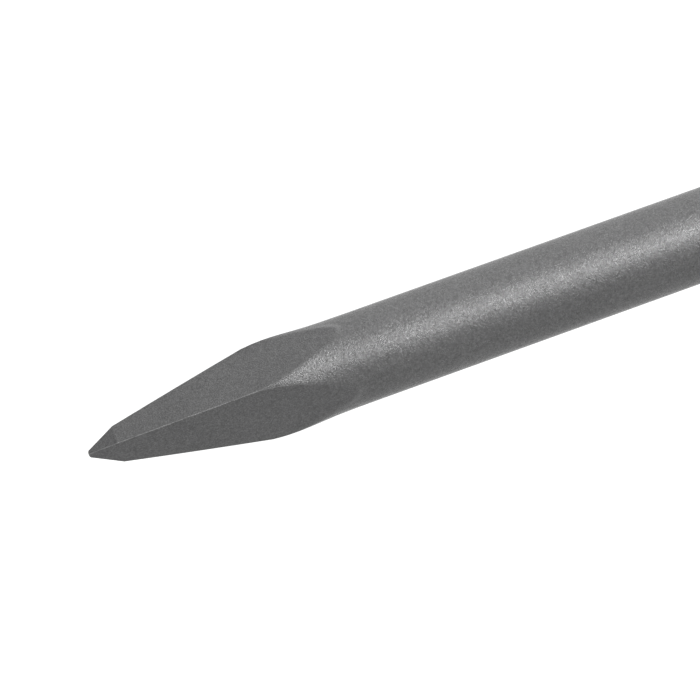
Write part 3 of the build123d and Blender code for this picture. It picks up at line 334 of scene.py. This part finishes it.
GRIP_END_WALL = 0.006       # rubber past the end of the bar
FLANGE_HEIGHT, FLANGE_WIDTH, FLANGE_SLOPE = 0.004, 0.0045, 0.004
FLANGE_RIM = 0.0015         # the radius of the flange's rounded rim
RINGS, RING_HEIGHT, RING_WIDTH = 14, 0.0011, 0.0034
RINGS_AFTER_FLANGE, RINGS_BEFORE_END = 0.014, 0.016
BEAD_HEIGHT, BEAD_WIDTH, BEAD_BEFORE_END = 0.0026, 0.0085, 0.011
RING_STEPS, BEAD_STEPS = 8, 12              # points along one ring's outline, and along the bead's
DOME_HEIGHT, DOME_STEPS = 0.0025, 8
DOME_FULLNESS = 0.4         # the smaller, the flatter the dome's middle
GROOVE = 0.0006             # the sleeve is this much thinner between the rings than beside the flange


def swell(middle, width, foot, height, steps):
    """The outline of a raised ring: half a sine wave that stands on the radius foot."""
    stations = [part / steps - 0.5 for part in range(steps + 1)]
    return [(middle + along * width, foot + height * cos(pi * along)) for along in stations]


def grip_outline(inner, outer, flange):
    """A sleeve from inner to outer along the bar, with a flange at its inner end, raised rings for
    the fingers, a bead near its outer end and a domed end."""
    sleeve = flange - FLANGE_HEIGHT
    foot = sleeve - GROOVE
    bore_end = outer - GRIP_END_WALL
    outline = [(bore_end, 0), (bore_end, bar_radius), (inner, bar_radius), (inner, flange - FLANGE_RIM)]
    for angle in (pi / 6, pi / 3, pi / 2):
        outline.append((inner + FLANGE_RIM * (1 - cos(angle)), flange - FLANGE_RIM * (1 - sin(angle))))
    outline.append((inner + FLANGE_WIDTH, flange))
    outline.append((inner + FLANGE_WIDTH + FLANGE_SLOPE / 3, flange - FLANGE_HEIGHT * 0.3))
    outline.append((inner + FLANGE_WIDTH + FLANGE_SLOPE, sleeve))
    first, last = inner + RINGS_AFTER_FLANGE, outer - RINGS_BEFORE_END
    for k in range(RINGS):
        outline += swell(first + (last - first) * k / (RINGS - 1), RING_WIDTH, foot, RING_HEIGHT, RING_STEPS)
    outline += swell(outer - BEAD_BEFORE_END + BEAD_WIDTH / 2, BEAD_WIDTH, foot, BEAD_HEIGHT, BEAD_STEPS)
    for part in range(1, DOME_STEPS):
        angle = pi / 2 * part / DOME_STEPS
        outline.append((outer - DOME_HEIGHT * (1 - sin(angle)), foot * cos(angle) ** DOME_FULLNESS))
    return outline + [(outer, 0)]


for side, node in ((1, "grip_right"), (-1, "grip_left")):
    low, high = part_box(node)
    reach = sorted((abs(low[0]), abs(high[0])))
    outline = grip_outline(reach[0], reach[1], (high[2] - low[2]) / 2)
    vertices, faces = lathe([(side * x, radius) for x, radius in outline])
    grip = closed_piece(node.replace("grip", "ribbed_grip"), vertices, faces, "rubber")
    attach(grip, "handle")
    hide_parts(node)

# ---------------------------------------------------------------- springs round the guide rods
WIRE_SIDES, STEPS_PER_TURN = 12, 36
CLOSED_TURNS, OPENING_TURNS = 0.4, 0.5      # at each end: lying close, then opening to the full pitch
SEAT_GAP = 0.00025          # the visible spring reaches this far past the CAD one, almost to its seats
GROUND_END_ANGLE = radians(40)              # sharper corners, at the ground ends, aren't smoothed


def coil_heights(length, wire, turns):
    """Heights along the centre line of a coil whose ends are closed and half ground away. The
    wire is given by its radius."""
    steps = round(turns * STEPS_PER_TURN)
    opened = []
    for k in range(steps):
        from_end = min(k + 0.5, steps - k - 0.5) / STEPS_PER_TURN
        share = min(1.0, max(0.0, (from_end - CLOSED_TURNS) / OPENING_TURNS))
        opened.append(share * share * (3 - 2 * share))
    closed_rise = 2 * wire / STEPS_PER_TURN
    open_rise = (length - wire - steps * closed_rise) / sum(opened)
    heights = [wire / 2]
    for share in opened:
        heights.append(heights[-1] + closed_rise + share * open_rise)
    return heights


def coil(x, low, high, radius, wire, turns):
    """The vertices and faces of one coil spring about the vertical line through x, between two heights."""
    heights = coil_heights(high - low, wire, turns)
    vertices, faces = [], []
    for k, height in enumerate(heights):
        angle = 2 * pi * k / STEPS_PER_TURN
        outward = Vector((cos(angle), sin(angle), 0))
        centre = Vector((x, 0, low + height)) + radius * outward
        before, after = heights[max(k - 1, 0)], heights[min(k + 1, len(heights) - 1)]
        run = 2 * pi * radius / STEPS_PER_TURN * (min(k + 1, len(heights) - 1) - max(k - 1, 0))
        along = Vector((-sin(angle) * run, cos(angle) * run, after - before)).normalized()
        across = along.cross(outward)
        for side in range(WIRE_SIDES):
            turned = 2 * pi * side / WIRE_SIDES
            point = centre + wire * (cos(turned) * outward + sin(turned) * across)
            vertices.append((point.x, point.y, min(high, max(low, point.z))))
    for k in range(len(heights) - 1):
        for side in range(WIRE_SIDES):
            beside = (side + 1) % WIRE_SIDES
            ring, after = k * WIRE_SIDES, (k + 1) * WIRE_SIDES
            faces.append((ring + side, ring + beside, after + beside, after + side))
    faces.append(tuple(range(WIRE_SIDES)))
    faces.append(tuple(range(len(vertices) - WIRE_SIDES, len(vertices))))
    return vertices, faces


def spring_pair(name, node, wire, turns):
    """The two springs of a CAD node, between the housing and the handle."""
    low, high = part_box(node)
    outer = (high.y - low.y) / 2
    bottom, top = low.z - SEAT_GAP, high.z + SEAT_GAP
    vertices, faces = [], []
    for x in (low.x + outer, high.x - outer):
        first = len(vertices)
        own_vertices, own_faces = coil(x, bottom, top, outer - wire, wire, turns)
        vertices += own_vertices
        faces += [tuple(first + k for k in face) for face in own_faces]
    springs = closed_piece(name, vertices, faces, "ground_steel")
    springs.data.set_sharp_from_angle(angle=GROUND_END_ANGLE)
    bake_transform(springs)
    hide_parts(node)


spring_pair("coil_springs_lower", "lower_springs", wire=0.0016, turns=3.5)
spring_pair("coil_springs_upper", "upper_springs", wire=0.0014, turns=4.0)

# ---------------------------------------------------------------- floor, light and camera
floor_reach, floor_z = 60.0, -0.12          # to the horizon, and clear of the chisel's tip
corners = [(x * floor_reach, y * floor_reach, floor_z) for x, y in ((-1, -1), (1, -1), (1, 1), (-1, 1))]
floor_mesh = bpy.data.meshes.new("floor")
floor_mesh.from_pydata(corners, [], [(0, 1, 2, 3)])
floor = bpy.data.objects.new("floor", floor_mesh)
bpy.context.collection.objects.link(floor)
floor_paint = bpy.data.materials.new("floor_paint")
paint = Nodes(floor_paint)
paint.finish(paint.add("BsdfPrincipled", Base_Color=shade((0.95, 0.95, 0.95)), Roughness=0.9))
floor_mesh.materials.append(floor_paint)
floor.visible_glossy = False          # metal reflects the studio round it, not the bare floor

BACKDROP = 1.15             # the white that the camera sees
LEVEL = 0.98                # the light all round
OVERHEAD = 0.42             # added above, and taken away below
FROM_LEFT = 0.20            # added on the left, and taken away on the right
UPPER_LEFT = 0.50           # added at upper left and lower right, and taken away at the other two
FROM_BEHIND = 0.34          # added behind the object


def studio():
    """A white backdrop, and a soft light that is brighter overhead, on the left and behind the object."""
    world = bpy.data.worlds.new("studio")
    n = Nodes(world)
    x, y, z = n.add("SeparateXYZ", i0=n.add("TexCoord").outputs["Generated"]).outputs
    behind = n.math("MAXIMUM", y, 0.0)
    light = n.math("ADD", LEVEL, n.math("MULTIPLY", z, OVERHEAD))
    light = n.math("ADD", light, n.math("MULTIPLY", x, -FROM_LEFT))
    light = n.math("ADD", light, n.math("MULTIPLY", n.math("MULTIPLY", x, z), -UPPER_LEFT))
    light = n.math("ADD", light, n.math("MULTIPLY", n.math("MULTIPLY", behind, behind), FROM_BEHIND))
    seen = n.add("LightPath").outputs["Is Camera Ray"]
    strength = n.add("Mix", i0=seen, i2=light, i3=BACKDROP).outputs[0]
    background = n.add("Background", Color=shade((1.0, 1.0, 1.0)), Strength=strength)
    n.tree.links.new(background.outputs[0], n.add("OutputWorld").inputs["Surface"])
    return world


bpy.context.scene.world = studio()
bpy.context.scene.view_settings.view_transform = "Standard"


def softbox(name, place, target, width, height, power):
    """A soft area light that the camera doesn't see."""
    light = bpy.data.lights.new(name, "AREA")
    light.shape = "RECTANGLE"
    light.size, light.size_y = width, height
    light.energy = power
    lamp = bpy.data.objects.new(name, light)
    lamp.location = place
    lamp.rotation_euler = (Vector(target) - Vector(place)).to_track_quat("-Z", "Y").to_euler()
    lamp.visible_camera = False
    bpy.context.collection.objects.link(lamp)


softbox("strip", place=(-0.25, -1.19, 0.72), target=(0, 0, 0.4), width=0.12, height=1.3, power=7.7)
softbox("overhead", place=(-0.6, -0.5, 2.4), target=(0, 0, 0.6), width=1.6, height=1.6, power=30.0)

# The camera looks across the chisel's point from just below, and is rolled over so that the
# chisel runs up to the right.
lens, sensor = 110.0, 36.0
turn, tilt, roll = radians(3.0), radians(5.6), radians(19.69)
tip_across, tip_up = -0.3736, -0.1493       # the tip's place in the frame, in frame widths
tip_depth = 0.6805                          # how far in front of the camera the tip is
across_chisel = Vector((cos(turn), sin(turn), 0))
up_chisel = Vector((sin(turn) * sin(tilt), -cos(turn) * sin(tilt), cos(tilt)))
forward = Vector((-sin(turn) * cos(tilt), cos(turn) * cos(tilt), sin(tilt)))
right = sin(roll) * across_chisel + cos(roll) * up_chisel
up = -cos(roll) * across_chisel + sin(roll) * up_chisel
frame_width = tip_depth * sensor / lens
camera = bpy.data.objects.new("camera", bpy.data.cameras.new("camera"))
camera.data.lens = lens
camera.data.sensor_width = sensor
camera.data.clip_start = 0.01
camera.location = -(tip_across * frame_width * right + tip_up * frame_width * up + tip_depth * forward)
camera.rotation_euler = Matrix((right, up, -forward)).transposed().to_euler()
bpy.context.collection.objects.link(camera)
bpy.context.scene.camera = camera
